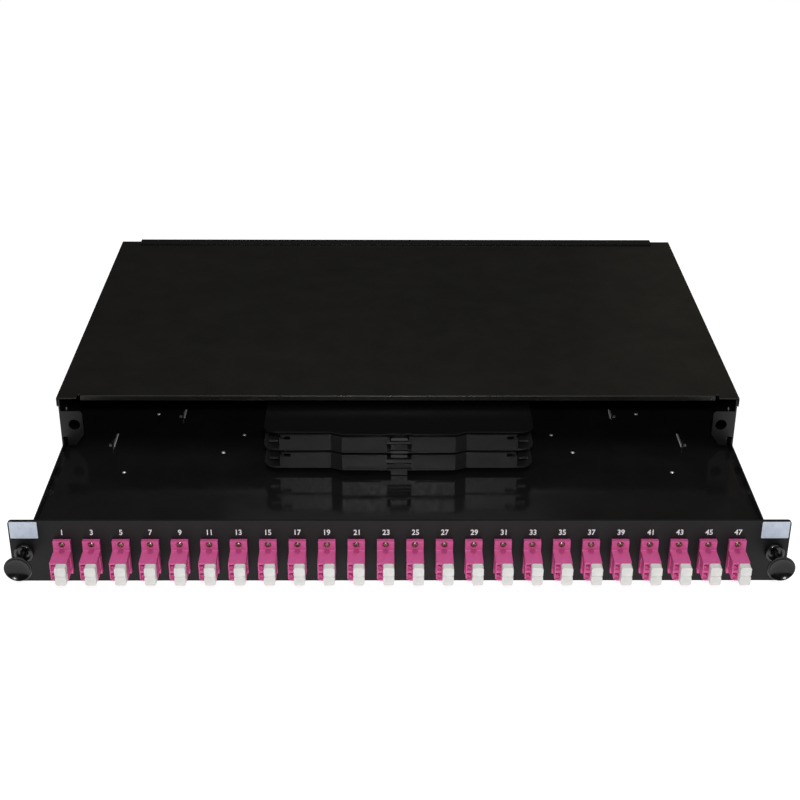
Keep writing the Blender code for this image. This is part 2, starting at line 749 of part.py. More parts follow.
def build_splice_stack(builder):
    """Lower tray on its front foot, upper tray, and the lid that closes them."""
    lower = build_splice_tray(builder, "splice_tray_lower", LOWER_TRAY_BOTTOM, LOWER_TRAY_TOP)
    foot_bottom = DRAWER_FLOOR + GAP
    foot_top = LOWER_TRAY_BOTTOM + TRAY_FLOOR / 2
    rear_foot = TRAY_REAR - TRAY_REAR_RADIUS
    foot_places = (
        (0.0, TRAY_FRONT + GAP),
        (-SPLICE_RIB_X, rear_foot - 2 * FOOT_HALF),
        (SPLICE_RIB_X, rear_foot - 2 * FOOT_HALF),
    )
    feet = [
        block((x - FOOT_HALF, y, foot_bottom), (x + FOOT_HALF, y + 2 * FOOT_HALF, foot_top))
        for x, y in foot_places
    ]
    builder.fuse(lower, merged(feet))
    build_splice_tray(builder, "splice_tray_upper", UPPER_TRAY_BOTTOM, UPPER_TRAY_TOP)
    lid = extruded(tray_outline(0.0), "Z", UPPER_TRAY_TOP + GAP, LID_TOP)
    builder.part("splice_tray_lid", lid, principled("splice_lid_plastic", TRAY_PLASTIC))


def main():
    clear_scene()
    parts = collection(OBJECT_NAME)
    cutters = collection("cutters")
    fixed = Builder(parts, cutters)
    build_housing(fixed)
    build_cover(fixed)
    build_gland(fixed)
    drawer = bpy.data.objects.new("drawer_frame", None)
    parts.objects.link(drawer)
    drawer.location = (0.0, HOUSING_FRONT - DRAWER_OUT, 0.0)
    sliding = Builder(parts, cutters, drawer)
    build_drawer_tray(sliding)
    build_front_panel(sliding)
    build_adapters(sliding)
    build_plungers(sliding)
    build_splice_stack(sliding)


main()
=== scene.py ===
"""The fibre termination box's looks: finishes, detailed plastic parts, fixings, print, light and camera.

Metres, +Z up, +Y to the rear, +X to the right seen from the front. Small parts are drawn about their own
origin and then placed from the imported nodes' boxes.
"""

import json
import math

import bmesh
import bpy
from mathutils import Matrix, Vector


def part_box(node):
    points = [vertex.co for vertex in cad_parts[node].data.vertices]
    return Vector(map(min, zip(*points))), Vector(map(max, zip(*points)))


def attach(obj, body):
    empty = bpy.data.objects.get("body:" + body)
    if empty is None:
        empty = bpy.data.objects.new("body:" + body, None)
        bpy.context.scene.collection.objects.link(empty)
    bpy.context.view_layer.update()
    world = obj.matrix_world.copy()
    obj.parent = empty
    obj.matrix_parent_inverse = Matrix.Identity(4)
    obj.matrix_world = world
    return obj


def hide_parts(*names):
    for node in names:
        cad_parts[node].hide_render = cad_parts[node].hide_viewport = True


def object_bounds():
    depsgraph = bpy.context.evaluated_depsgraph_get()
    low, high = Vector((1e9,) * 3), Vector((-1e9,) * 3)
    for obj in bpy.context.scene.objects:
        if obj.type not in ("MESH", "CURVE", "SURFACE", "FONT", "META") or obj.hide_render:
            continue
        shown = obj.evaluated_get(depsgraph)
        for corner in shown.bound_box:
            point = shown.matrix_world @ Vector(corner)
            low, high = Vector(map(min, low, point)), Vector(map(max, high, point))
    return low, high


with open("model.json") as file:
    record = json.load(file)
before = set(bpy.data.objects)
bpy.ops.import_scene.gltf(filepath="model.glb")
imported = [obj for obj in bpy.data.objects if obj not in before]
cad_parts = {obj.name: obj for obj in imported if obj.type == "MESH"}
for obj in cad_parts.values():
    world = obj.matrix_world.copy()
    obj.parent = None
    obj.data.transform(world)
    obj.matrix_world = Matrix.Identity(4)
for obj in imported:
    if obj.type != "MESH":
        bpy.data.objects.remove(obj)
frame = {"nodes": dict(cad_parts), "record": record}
cad_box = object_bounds()

MM = 0.001
FIXED = "housing"
DRAWER = "drawer"
ADAPTER_COUNT = 24

# Where the drawer's parts are measured from.
PANEL_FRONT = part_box("front_panel")[0].y
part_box("top_cover")  # Only to stop here if the CAD has no cover.
DRAWER_SHEET = 1.2 * MM
FLOOR_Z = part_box("drawer_tray")[0].z + DRAWER_SHEET

# Mesh clean-up: points closer than this are one, flatter faces are joined, sharper edges are rounded.
WELD = 2e-6
FLAT_ANGLE = math.radians(1)
NODE_FLAT_ANGLE = math.radians(0.5)
BEVEL_ANGLE = math.radians(40)
TURNED_WELD = 1e-7

# Edges sharper than this stay sharp in smooth shading.
SMOOTH_ANGLE = math.radians(35)
PLUNGER_SMOOTH_ANGLE = math.radians(50)
GROMMET_SMOOTH_ANGLE = math.radians(45)


# ---------------------------------------------------------------- mesh helpers


def new_object(name, mesh, *materials):
    """An object in the scene with these materials."""
    obj = bpy.data.objects.new(name, mesh)
    bpy.context.scene.collection.objects.link(obj)
    if materials:
        mesh.materials.clear()
        for material in materials:
            mesh.materials.append(material)
    return obj


def frozen(obj):
    """The object's mesh with its modifiers applied."""
    bpy.context.view_layer.update()
    graph = bpy.context.evaluated_depsgraph_get()
    return bpy.data.meshes.new_from_object(obj.evaluated_get(graph))


def mesh_from(bm):
    """The mesh held by a bmesh, its normals facing outwards."""
    mesh = bpy.data.meshes.new("shape")
    bmesh.ops.recalc_face_normals(bm, faces=bm.faces)
    bm.to_mesh(mesh)
    bm.free()
    return mesh


def block(low, high):
    """A box mesh between two corners."""
    low = Vector(low)
    high = Vector(high)
    bm = bmesh.new()
    place = Matrix.Translation((low + high) / 2) @ Matrix.Diagonal((*(high - low), 1.0))
    bmesh.ops.create_cube(bm, size=1.0, matrix=place)
    return mesh_from(bm)


# How an outline's (u, v) plane stands in the model, by the axis it is extruded along.
AXES = {
    "X": (Vector((0, 1, 0)), Vector((0, 0, 1)), Vector((1, 0, 0))),
    "Y": (Vector((1, 0, 0)), Vector((0, 0, 1)), Vector((0, 1, 0))),
    "Z": (Vector((1, 0, 0)), Vector((0, 1, 0)), Vector((0, 0, 1))),
}


def extruded(outline, axis, low, high):
    """A flat outline of (u, v) points, extruded along an axis."""
    across, up, along = AXES[axis]
    bm = bmesh.new()
    ends = []
    for depth in (low, high):
        ends.append([bm.verts.new(across * u + up * v + along * depth) for u, v in outline])
    count = len(outline)
    bm.faces.new(ends[0])
    bm.faces.new(list(reversed(ends[1])))
    for i in range(count):
        j = (i + 1) % count
        bm.faces.new((ends[0][i], ends[0][j], ends[1][j], ends[1][i]))
    return mesh_from(bm)


def moved(mesh, offset):
    """The mesh, shifted."""
    mesh.transform(Matrix.Translation(offset))
    return mesh


def arc(centre, radius, start, end, steps):
    """Points on an arc, angles in degrees, both ends included."""
    turn = [math.radians(start + (end - start) * i / steps) for i in range(steps + 1)]
    return [(centre[0] + radius * math.cos(a), centre[1] + radius * math.sin(a)) for a in turn]


def rounded_rectangle(low, high, radius, steps):
    """The outline of a rectangle with four round corners, anticlockwise."""
    left, bottom = low[0] + radius, low[1] + radius
    right, top = high[0] - radius, high[1] - radius
    return (
        arc((right, bottom), radius, -90, 0, steps)
        + arc((right, top), radius, 0, 90, steps)
        + arc((left, top), radius, 90, 180, steps)
        + arc((left, bottom), radius, 180, 270, steps)
    )


def lathed(profile, steps):
    """A turned mesh on the Y axis. Profile points are (radius, distance in front of the origin)."""
    bm = bmesh.new()
    rings = []
    for radius, distance in profile:
        if radius < TURNED_WELD:
            rings.append([bm.verts.new((0.0, -distance, 0.0))])
            continue
        ring = []
        for i in range(steps):
            turn = 2 * math.pi * i / steps
            spot = (radius * math.cos(turn), -distance, radius * math.sin(turn))
            ring.append(bm.verts.new(spot))
        rings.append(ring)
    for one, two in zip(rings, rings[1:]):
        for i in range(steps):
            j = (i + 1) % steps
            corners = [
                one[i % len(one)],
                one[j % len(one)],
                two[j % len(two)],
                two[i % len(two)],
            ]
            unique = list(dict.fromkeys(corners))
            if len(unique) > 2:
                bm.faces.new(unique)
    if len(rings[0]) > 1 and profile[0] == profile[-1]:
        bmesh.ops.remove_doubles(bm, verts=bm.verts, dist=TURNED_WELD)
    return mesh_from(bm)


class Carving:
    """A mesh shaped by exact Booleans, and rounded at its edges if asked."""

    def __init__(self, mesh):
        self.obj = new_object("carving", mesh)
        self.tools = []

    def combine(self, mesh, operation):
        tool = new_object("tool", mesh)
        tool.hide_render = True
        self.tools.append(tool)
        modifier = self.obj.modifiers.new(operation, "BOOLEAN")
        modifier.operation = operation
        modifier.solver = "EXACT"
        modifier.object = tool

    def cut(self, mesh):
        self.combine(mesh, "DIFFERENCE")

    def add(self, mesh):
        self.combine(mesh, "UNION")

    def done(self, bevel=0.0, segments=2, name="carved"):
        """The finished mesh; its helpers are removed."""
        shaped = frozen(self.obj)
        for obj in [*self.tools, self.obj]:
            bpy.data.objects.remove(obj, do_unlink=True)
        shaped.name = name
        return softened(shaped, bevel, segments) if bevel else shaped


def softened(mesh, width, segments=2, rim=-1):
    """The mesh with its sharp edges rounded and its shading evened out.

    The rounded edges take the material slot given as rim, or keep their own.
    """
    bm = bmesh.new()
    bm.from_mesh(mesh)
    bmesh.ops.remove_doubles(bm, verts=bm.verts, dist=WELD)
    bmesh.ops.dissolve_degenerate(bm, edges=bm.edges, dist=WELD)
    bmesh.ops.dissolve_limit(bm, angle_limit=FLAT_ANGLE, verts=bm.verts, edges=bm.edges)
    bm.to_mesh(mesh)
    bm.free()
    obj = new_object("softening", mesh)
    add_bevel(obj, width, segments).material = rim
    add_even_normals(obj)
    shaped = frozen(obj)
    bpy.data.objects.remove(obj, do_unlink=True)
    return shaped


def add_bevel(obj, width, segments=2):
    """Rounded edges as a live modifier."""
    bevel = obj.modifiers.new("Edges", "BEVEL")
    bevel.width = width
    bevel.segments = segments
    bevel.limit_method = "ANGLE"
    bevel.angle_limit = BEVEL_ANGLE
    bevel.use_clamp_overlap = True
    bevel.miter_outer = "MITER_ARC"
    return bevel


def add_even_normals(obj):
    """Smooth shading whose normals follow the large faces."""
    for polygon in obj.data.polygons:
        polygon.use_smooth = True
    normals = obj.modifiers.new("Normals", "WEIGHTED_NORMAL")
    normals.keep_sharp = True
    normals.weight = 100


def smooth_by_angle(mesh, angle=SMOOTH_ANGLE):
    """The mesh shaded smooth, but for its sharper edges."""
    mesh.shade_smooth()
    mesh.set_sharp_from_angle(angle=angle)
    return mesh


# ---------------------------------------------------------------- materials


class Finish:
    """A Principled material whose pattern comes from noise in the piece's own coordinates."""

    def __init__(self, name, colour, roughness, metallic=0.0, specular=0.5):
        self.material = bpy.data.materials.new(name)
        self.material.use_nodes = True
        self.nodes = self.material.node_tree.nodes
        self.links = self.material.node_tree.links
        self.shader = self.nodes["Principled BSDF"]
        self.set("Base Color", (*colour, 1.0))
        self.set("Roughness", roughness)
        self.set("Metallic", metallic)
        self.set("Specular IOR Level", specular)
        self.colour = colour
        self.roughness = roughness
        self.place = self.nodes.new("ShaderNodeTexCoord").outputs["Object"]
        self.normal = None

    def set(self, socket, value):
        """A constant on one of the shader's inputs."""
        self.shader.inputs[socket].default_value = value

    def noise(self, scale, detail=3.0, stretch=None):
        """Noise of that many features per metre, from 0 to 1."""
        texture = self.nodes.new("ShaderNodeTexNoise")
        texture.inputs["Scale"].default_value = scale
        texture.inputs["Detail"].default_value = detail
        texture.inputs["Roughness"].default_value = 0.55
        source = self.place
        if stretch:
            mapping = self.nodes.new("ShaderNodeMapping")
            mapping.inputs["Scale"].default_value = stretch
            self.links.new(source, mapping.inputs["Vector"])
            source = mapping.outputs["Vector"]
        self.links.new(source, texture.inputs["Vector"])
        return texture.outputs["Fac"]

    def ranged(self, value, low, high):
        """The middle of the noise's range mapped to low..high."""
        node = self.nodes.new("ShaderNodeMapRange")
        node.inputs["From Min"].default_value = 0.35
        node.inputs["From Max"].default_value = 0.65
        node.inputs["To Min"].default_value = low
        node.inputs["To Max"].default_value = high
        self.links.new(value, node.inputs["Value"])
        return node.outputs["Result"]

    def tint(self, value, darker, lighter):
        """Base colour varied between two shades of itself by a 0 to 1 value."""
        ramp = self.nodes.new("ShaderNodeValToRGB")
        ramp.color_ramp.elements[0].position = 0.32
        ramp.color_ramp.elements[1].position = 0.68
        ramp.color_ramp.elements[0].color = (*[c * darker for c in self.colour], 1.0)
        ramp.color_ramp.elements[1].color = (*[c * lighter for c in self.colour], 1.0)
        self.links.new(value, ramp.inputs["Fac"])
        self.links.new(ramp.outputs["Color"], self.shader.inputs["Base Color"])

    def roughen(self, value, spread):
        """Roughness varied about its own value."""
        result = self.ranged(value, self.roughness - spread, self.roughness + spread)
        self.links.new(result, self.shader.inputs["Roughness"])

    def bump(self, value, height):
        """Relief of that height in metres, on top of any before it."""
        node = self.nodes.new("ShaderNodeBump")
        node.inputs["Distance"].default_value = height
        node.inputs["Strength"].default_value = 1.0
        self.links.new(value, node.inputs["Height"])
        if self.normal:
            self.links.new(self.normal, node.inputs["Normal"])
        self.normal = node.outputs["Normal"]
        self.links.new(self.normal, self.shader.inputs["Normal"])


def powder_coat(name, colour, roughness, specular, peel):
    """Black powder coat: orange peel, fine grain, and a slow drift in shade and gloss."""
    finish = Finish(name, colour, roughness, specular=specular)
    finish.tint(finish.noise(38, 4), 0.86, 1.16)
    finish.roughen(finish.noise(55, 4), 0.035)
    finish.bump(finish.noise(900, 2), peel)
    finish.bump(finish.noise(4200, 2), peel * 0.25)
    return finish.material


def moulded(name, colour, roughness, specular=0.5, grain=6e-6, scatter=0.0):
    """Moulded plastic: spark-eroded grain and faint flow marks."""
    finish = Finish(name, colour, roughness, specular=specular)
    finish.tint(finish.noise(210, 3, (1.0, 0.4, 1.0)), 0.93, 1.07)
    finish.roughen(finish.noise(420, 3), 0.05)
    finish.bump(finish.noise(5200, 2), grain)
    if scatter:
        finish.set("Subsurface Weight", scatter)
        finish.set("Subsurface Radius", (0.9, 0.5, 0.45))
        finish.set("Subsurface Scale", 0.0012)
    return finish.material


def plated(name, colour, roughness, brush, metallic=1.0):
    """Plated steel with fine drawn lines; duller plating is less metallic."""
    finish = Finish(name, colour, roughness, metallic=metallic)
    finish.tint(finish.noise(900, 3), 0.78, 1.12)
    finish.roughen(finish.noise(2600, 2, brush), 0.08)
    finish.bump(finish.noise(7000, 2, brush), 4e-6)
    return finish.material


COVER_COAT = powder_coat("cover_coat", (0.0092, 0.0087, 0.0072), 0.30, 0.42, 2.2e-5)
HOUSING_COAT = powder_coat("housing_coat", (0.0064, 0.0064, 0.0066), 0.42, 0.36, 2.2e-5)
DRAWER_COAT = powder_coat("drawer_coat", (0.0076, 0.0070, 0.0070), 0.12, 0.60, 0.5e-5)
PANEL_COAT = powder_coat("panel_coat", (0.0052, 0.0049, 0.0051), 0.46, 0.24, 3.0e-5)
TRAY_PLASTIC = moulded("tray_plastic", (0.0130, 0.0130, 0.0140), 0.42)
LID_PLASTIC = moulded("lid_plastic", (0.0022, 0.0021, 0.0020), 0.34, 0.12, 1e-6)
GLAND_PLASTIC = moulded("gland_plastic", (0.0100, 0.0100, 0.0100), 0.42)
GLOSS_BLACK = moulded("gloss_black", (0.0060, 0.0060, 0.0062), 0.16, 0.6, 2e-6)
PLUNGER_BLACK = moulded("plunger_black", (0.0036, 0.0036, 0.0037), 0.22, 0.34, 2e-6)
ADAPTER_PLASTIC = moulded("adapter_plastic", (0.57, 0.092, 0.270), 0.50, 0.36, 3e-6, 0.12)
CAP_PLASTIC = moulded("cap_plastic", (0.63, 0.625, 0.61), 0.50, 0.40, 5e-6, 0.15)
SCREW_STEEL = plated("screw_steel", (0.30, 0.24, 0.17), 0.32, (1.0, 1.0, 1.0))
RIVET_STEEL = plated("rivet_steel", (0.72, 0.71, 0.69), 0.22, (1.0, 1.0, 1.0), 0.6)
EDGE_STEEL = plated("edge_steel", (0.80, 0.80, 0.80), 0.40, (1.0, 0.2, 1.0), 0.3)
# A painted highlight: the brighter steel grey of the small patches on the drawer floor beside the tie fins.
PAINTED_HIGHLIGHT_STEEL = plated("painted_highlight_steel", (0.16, 0.16, 0.16), 0.55, (1.0, 1.0, 1.0), 0.3)
PRINT_WHITE = moulded("print_white", (0.72, 0.72, 0.73), 0.55, 0.3, 1e-6)
LABEL_FILM = moulded("label_film", (0.48, 0.54, 0.63), 0.30, 0.5, 1e-6)


# ---------------------------------------------------------------- sheet metal


def finished_node(name, material):
    """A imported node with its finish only, its flat faces kept flat."""
    node = frame["nodes"][name]
    node.data.materials.clear()
    node.data.materials.append(material)
    return node


def dress_node(name, material, bevel):
    """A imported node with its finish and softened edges."""
    node = finished_node(name, material)
    weld = node.modifiers.new("Weld", "WELD")
    weld.merge_threshold = WELD
    flat = node.modifiers.new("Flat", "DECIMATE")
    flat.decimate_type = "DISSOLVE"
    flat.angle_limit = NODE_FLAT_ANGLE
    add_bevel(node, bevel)
    add_even_normals(node)


def dome(radius, height, steps=20, rings=5):
    """A shallow domed head facing up, flat side at z = 0, drawn on the Y axis then turned."""
    points = [(0.0, height)]
    for i in range(1, rings + 1):
        slope = i / rings * math.pi / 2
        points.append((radius * math.sin(slope), height * math.cos(slope)))
    mesh = lathed(points, steps)
    mesh.transform(Matrix.Rotation(-math.pi / 2, 4, "X"))
    return smooth_by_angle(mesh)


def place_dome(name, mesh, at, body, turn=None):
    """A rivet head at a point, facing up unless turned."""
    piece = new_object(name, mesh)
    piece.location = at
    if turn:
        piece.rotation_euler = turn
    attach(piece, body)


dress_node("housing", HOUSING_COAT, 0.35 * MM)
dress_node("top_cover", COVER_COAT, 0.55 * MM)
dress_node("drawer_tray", DRAWER_COAT, 0.30 * MM)
add_bevel(finished_node("front_panel", PANEL_COAT), 0.25 * MM, 1)
dress_node("cable_gland", GLAND_PLASTIC, 0.30 * MM)

# Rivets in the drawer floor: distance from the middle, distance behind the panel, in millimetres.
FLOOR_RIVETS = ((180.4, 219.6), (113.0, 186.5), (126.0, 160.0), (193.0, 131.3))
RIVET_RADIUS = 1.4 * MM
RIVET_HEIGHT = 0.6 * MM
RIVET_MESH = dome(RIVET_RADIUS, RIVET_HEIGHT)
RIVET_MESH.materials.append(RIVET_STEEL)
for row, (across, behind) in enumerate(FLOOR_RIVETS, start=1):
    for side, sign in (("left", -1), ("right", 1)):
        spot = (sign * across * MM, PANEL_FRONT + behind * MM, FLOOR_Z)
        place_dome(f"floor_rivet_{side}_{row}", RIVET_MESH, spot, DRAWER)

# A rivet in each side wall, just behind the locking tab.
WALL_RIVET_INNER_X = 241.7 * MM
WALL_RIVET_BEHIND = 186.0 * MM
WALL_RIVET_Z = 24.8 * MM
for side, sign in (("left", -1), ("right", 1)):
    spot = (sign * WALL_RIVET_INNER_X, PANEL_FRONT + WALL_RIVET_BEHIND, WALL_RIVET_Z)
    place_dome(f"wall_rivet_{side}", RIVET_MESH, spot, FIXED, (0.0, -sign * math.pi / 2, 0.0))

# Each tie fin's thin bright steel strip, and the painted highlight on the floor beside the strip's front
# end, in millimetres: the strip's distance from the middle, its start and end behind the panel.
FIN_EDGES = ((205.75, 168.4, 187.8), (160.25, 213.2, 226.8))
FIN_EDGE_WIDTH = 0.6
FIN_EDGE_HEIGHT = 0.35
FIN_TIP_GAP = 1.9
FIN_TIP_START = 0.6
FIN_TIP_LENGTH = 3.4
FIN_TIP_WIDTH = 2.2
FIN_TIP_BEVEL = 0.3 * MM


def floor_bar(x0, x1, y0, y1):
    """A thin bar on the drawer floor, from millimetres across and behind the panel."""
    low = (min(x0, x1) * MM, PANEL_FRONT + y0 * MM, FLOOR_Z)
    high = (max(x0, x1) * MM, PANEL_FRONT + y1 * MM, FLOOR_Z + FIN_EDGE_HEIGHT * MM)
    return block(low, high)


for row, (across, start, stop) in enumerate(FIN_EDGES, start=1):
    for side, sign in (("left", -1), ("right", 1)):
        inner = sign * (across - FIN_EDGE_WIDTH / 2)
        outer = sign * (across + FIN_EDGE_WIDTH / 2)
        strip = new_object(f"fin_edge_{side}_{row}", floor_bar(inner, outer, start, stop), EDGE_STEEL)
        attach(strip, DRAWER)
        # A painted highlight patch on the floor, beside the strip's front end.
        near = sign * (across + FIN_TIP_GAP)
        far = sign * (across + FIN_TIP_GAP + FIN_TIP_WIDTH)
        tip_start = start + FIN_TIP_START
        tip_mesh = softened(floor_bar(near, far, tip_start, tip_start + FIN_TIP_LENGTH), FIN_TIP_BEVEL)
        tip = new_object(f"fin_tip_{side}_{row}", tip_mesh, PAINTED_HIGHLIGHT_STEEL)
        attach(tip, DRAWER)


# ---------------------------------------------------------------- adapters

# Adapter sizes about its own middle: x across, y behind the panel, z up.
ADAPTER_HALF = 5.3 * MM
FLANGE_RISE = 13.3 * MM
FLANGE_DROP = 10.2 * MM
FLANGE_BACK = -0.3 * MM
FLANGE_FRONT = -3.3 * MM
BODY_HALF = 6.5 * MM
NOSE = -17.0 * MM
REAR_START = -1.5 * MM
REAR_END = 16.0 * MM
REAR_HALF_X = 4.6 * MM
REAR_HALF_Z = 6.3 * MM
BEND_RADIUS = 0.8 * MM
ADAPTER_BEVEL = 0.2 * MM
SCREW_Z = 10.6 * MM
SCREW_SEAT_RADIUS = 2.3 * MM
SCREW_SEAT_DEPTH = 0.8 * MM
SCREW_SINK = 0.1 * MM
LOWER_SCREW_Z = -8.4 * MM
LOWER_SCREW_RADIUS = 0.9 * MM

# Ports, their latch grooves behind, and the pockets left of them. PAST carries a cut clear of the face.
PAST = 1.0 * MM
PORT_PITCH = 6.25 * MM
PORT_X = 1.9 * MM
PORT_HALF = 2.3 * MM
PORT_DEPTH = 9.0 * MM
REAR_GROOVE = (-3.9 * MM, -2.0 * MM)
REAR_GROOVE_HALF = 1.4 * MM
REAR_GROOVE_DEPTH = 5.0 * MM
POCKET_X = (-4.6 * MM, -1.9 * MM)
POCKET_DEPTH = 1.5 * MM
# Each latch pocket: height of its notch's tip, of its lower and of its upper end, in millimetres.
POCKETS = ((5.3, 0.9, 5.2), (-0.8, -5.6, -0.9))
NOTCH_DEPTH = 3.2 * MM

# Shallow cuts in the sides, as (depth, y from, y to, half height).
SIDE_CUTS = (
    (0.6 * MM, -9.5 * MM, -5.3 * MM, 4.4 * MM),
    (0.4 * MM, -12.6 * MM, -9.0 * MM, 1.2 * MM),
)
LOWER_CHAMFER_X = -1.8 * MM
LOWER_CHAMFER_RISE = 1.9 * MM
LOWER_CHAMFER_BACK = 0.4 * MM


def adapter_side():
    """The adapter seen from the side, as (y, z)."""
    return [
        (FLANGE_BACK, FLANGE_RISE),
        (FLANGE_FRONT, FLANGE_RISE),
        *arc((FLANGE_FRONT - BEND_RADIUS, BODY_HALF + BEND_RADIUS), BEND_RADIUS, 0, -90, 8),
        (NOSE, BODY_HALF),
        (NOSE, -BODY_HALF),
        (FLANGE_FRONT, -BODY_HALF),
        (FLANGE_FRONT, -FLANGE_DROP),
        (FLANGE_BACK, -FLANGE_DROP),
    ]


def rod(z, radius, low, high):
    """A round bar along Y at a height."""
    mesh = lathed([(0.0, -low), (radius, -low), (radius, -high), (0.0, -high)], 24)
    return moved(mesh, (0.0, 0.0, z))


def relief_scoop():
    """The rounded scoop that clears the screw, tapering forwards along the body's top."""
    outline = ((0.0, 2.6), (2.0, 2.6), (2.0, 4.4), (1.7, 5.6), (1.1, 6.9), (0.0, 8.2))
    scoop_z = 5.7 * MM
    return moved(lathed([(r * MM, d * MM) for r, d in outline], 28), (0.0, 0.0, scoop_z))


def notch(z):
    """The dark arrow-shaped notch over a latch pocket, its tip at height z in millimetres."""
    outline = (
        (-4.6, z - 1.5),
        (-3.4, z - 0.8),
        (-3.1, z),
        (-2.3, z - 0.4),
        (-1.9, z - 0.7),
        (-1.9, z - 3.4),
        (-2.6, z - 3.0),
        (-3.0, z - 2.3),
        (-4.6, z - 2.5),
    )
    outline = [(x * MM, up * MM) for x, up in outline]
    return extruded(outline, "Y", NOSE - PAST, NOSE + NOTCH_DEPTH)


def side_block(sign, depth, y0, y1, half_z):
    """A block that cuts that deep into the adapter's side."""
    low_x, high_x = sorted((sign * (ADAPTER_HALF - depth), sign * ADAPTER_HALF + sign * PAST))
    return block((low_x, y0, -half_z), (high_x, y1, half_z))


def adapter_mesh():
    """One duplex adapter: stepped body, screw seat and scoop, latch pockets, ports, side cuts."""
    body = Carving(extruded(adapter_side(), "X", -ADAPTER_HALF, ADAPTER_HALF))
    rear_low = (-REAR_HALF_X, REAR_START, -REAR_HALF_Z)
    body.add(block(rear_low, (REAR_HALF_X, REAR_END, REAR_HALF_Z)))
    body.cut(relief_scoop())
    seat_end = FLANGE_FRONT + SCREW_SEAT_DEPTH
    body.cut(rod(SCREW_Z, SCREW_SEAT_RADIUS, FLANGE_FRONT - PAST, seat_end))
    for tip, pocket_low, pocket_high in POCKETS:
        low = (POCKET_X[0], NOSE - PAST, pocket_low * MM)
        body.cut(block(low, (POCKET_X[1], NOSE + POCKET_DEPTH, pocket_high * MM)))
        body.cut(notch(tip))
    for sign in (-1, 1):
        z = sign * PORT_PITCH / 2
        low = (PORT_X - PORT_HALF, NOSE - PAST, z - PORT_HALF)
        body.cut(block(low, (PORT_X + PORT_HALF, NOSE + PORT_DEPTH, z + PORT_HALF)))
        low = (-PORT_HALF, REAR_END - PORT_DEPTH, z - PORT_HALF)
        body.cut(block(low, (PORT_HALF, REAR_END + PAST, z + PORT_HALF)))
        low = (REAR_GROOVE[0], REAR_END - REAR_GROOVE_DEPTH, z - REAR_GROOVE_HALF)
        body.cut(block(low, (REAR_GROOVE[1], REAR_END + PAST, z + REAR_GROOVE_HALF)))
        for depth, y0, y1, half_z in SIDE_CUTS:
            body.cut(side_block(sign, depth, y0, y1, half_z))
    corner = [
        (-ADAPTER_HALF - PAST, -BODY_HALF - PAST),
        (LOWER_CHAMFER_X, -BODY_HALF - PAST),
        (-ADAPTER_HALF - PAST, -BODY_HALF + LOWER_CHAMFER_RISE),
    ]
    body.cut(extruded(corner, "Y", NOSE - PAST, FLANGE_FRONT - LOWER_CHAMFER_BACK))
    body.cut(rod(LOWER_SCREW_Z, LOWER_SCREW_RADIUS, FLANGE_FRONT - PAST, FLANGE_BACK + PAST))
    mesh = body.done(ADAPTER_BEVEL, 2, "adapter")
    mesh.materials.append(ADAPTER_PLASTIC)
    return mesh


CAP_HALF_X = 3.4 * MM
CAP_HALF_Z = 6.3 * MM
CAP_CORNER = 1.3 * MM
CAP_WAIST = 0.6 * MM
CAP_GAP = 0.3 * MM
CAP_LENGTH = 5.2 * MM
CAP_BEVEL = 0.55 * MM
PLUG_HALF = 2.0 * MM
PLUG_START = 2.0 * MM
PLUG_END = 2.9 * MM
SEAM_HALF_X = 4.0 * MM
SEAM_HALF_Z = 0.14 * MM
SEAM_DEPTH = 0.35 * MM


def cap_outline():
    """The double dust cap seen from the front, as two lobes."""
    top_x = CAP_HALF_X - CAP_CORNER
    waist_x = CAP_HALF_X - CAP_WAIST
    right = [
        *arc((top_x, CAP_CORNER - CAP_HALF_Z), CAP_CORNER, -90, 0, 6),
        *arc((waist_x, -1.5 * CAP_WAIST), CAP_WAIST, 0, 60, 3),
        *arc((waist_x, 1.5 * CAP_WAIST), CAP_WAIST, -60, 0, 3),
        *arc((top_x, CAP_HALF_Z - CAP_CORNER), CAP_CORNER, 0, 90, 6),
    ]
    return right + [(-x, z) for x, z in reversed(right)]


def cap_mesh():
    """One dust cap about its own middle, with its two plugs and the seam between its lobes."""
    back = NOSE - CAP_GAP
    front = back - CAP_LENGTH
    body = Carving(extruded(cap_outline(), "Y", front, back))
    for sign in (-1, 1):
        z = sign * PORT_PITCH / 2
        low = (-PLUG_HALF, back - PLUG_START, z - PLUG_HALF)
        body.add(block(low, (PLUG_HALF, back + PLUG_END, z + PLUG_HALF)))
    low = (-SEAM_HALF_X, front - PAST, -SEAM_HALF_Z)
    body.cut(block(low, (SEAM_HALF_X, front + SEAM_DEPTH, SEAM_HALF_Z)))
    mesh = body.done(CAP_BEVEL, 3, "dust_cap")
    mesh.materials.append(CAP_PLASTIC)
    return mesh


# The screw's cross recess: half length and width of an arm, and where the cut starts and stops in front.
CROSS_LONG = 1.05 * MM
CROSS_SHORT = 0.24 * MM
CROSS_START = 2.0 * MM
CROSS_FLOOR = 0.25 * MM


def screw_mesh():
    """A small pan head with a cross recess, flat side at y = 0, facing the front."""
    head = [
        (0.0, 0.85),
        (0.8, 0.8),
        (1.35, 0.62),
        (1.75, 0.3),
        (1.9, 0.0),
        (1.1, -0.3),
        (0.0, -0.3),
    ]
    body = Carving(lathed([(r * MM, d * MM) for r, d in head], 24))
    for across, up in ((CROSS_LONG, CROSS_SHORT), (CROSS_SHORT, CROSS_LONG)):
        body.cut(block((-across, -CROSS_START, -up), (across, -CROSS_FLOOR, up)))
    mesh = smooth_by_angle(body.done(name="adapter_screw"))
    mesh.materials.append(SCREW_STEEL)
    return mesh


ADAPTER_MESH = adapter_mesh()
CAP_MESH = cap_mesh()
SCREW_MESH = screw_mesh()
CAP_BODIES = frame["record"]["behaviour"]["bodies"]
SCREW_TURN_STEP = math.radians(37)

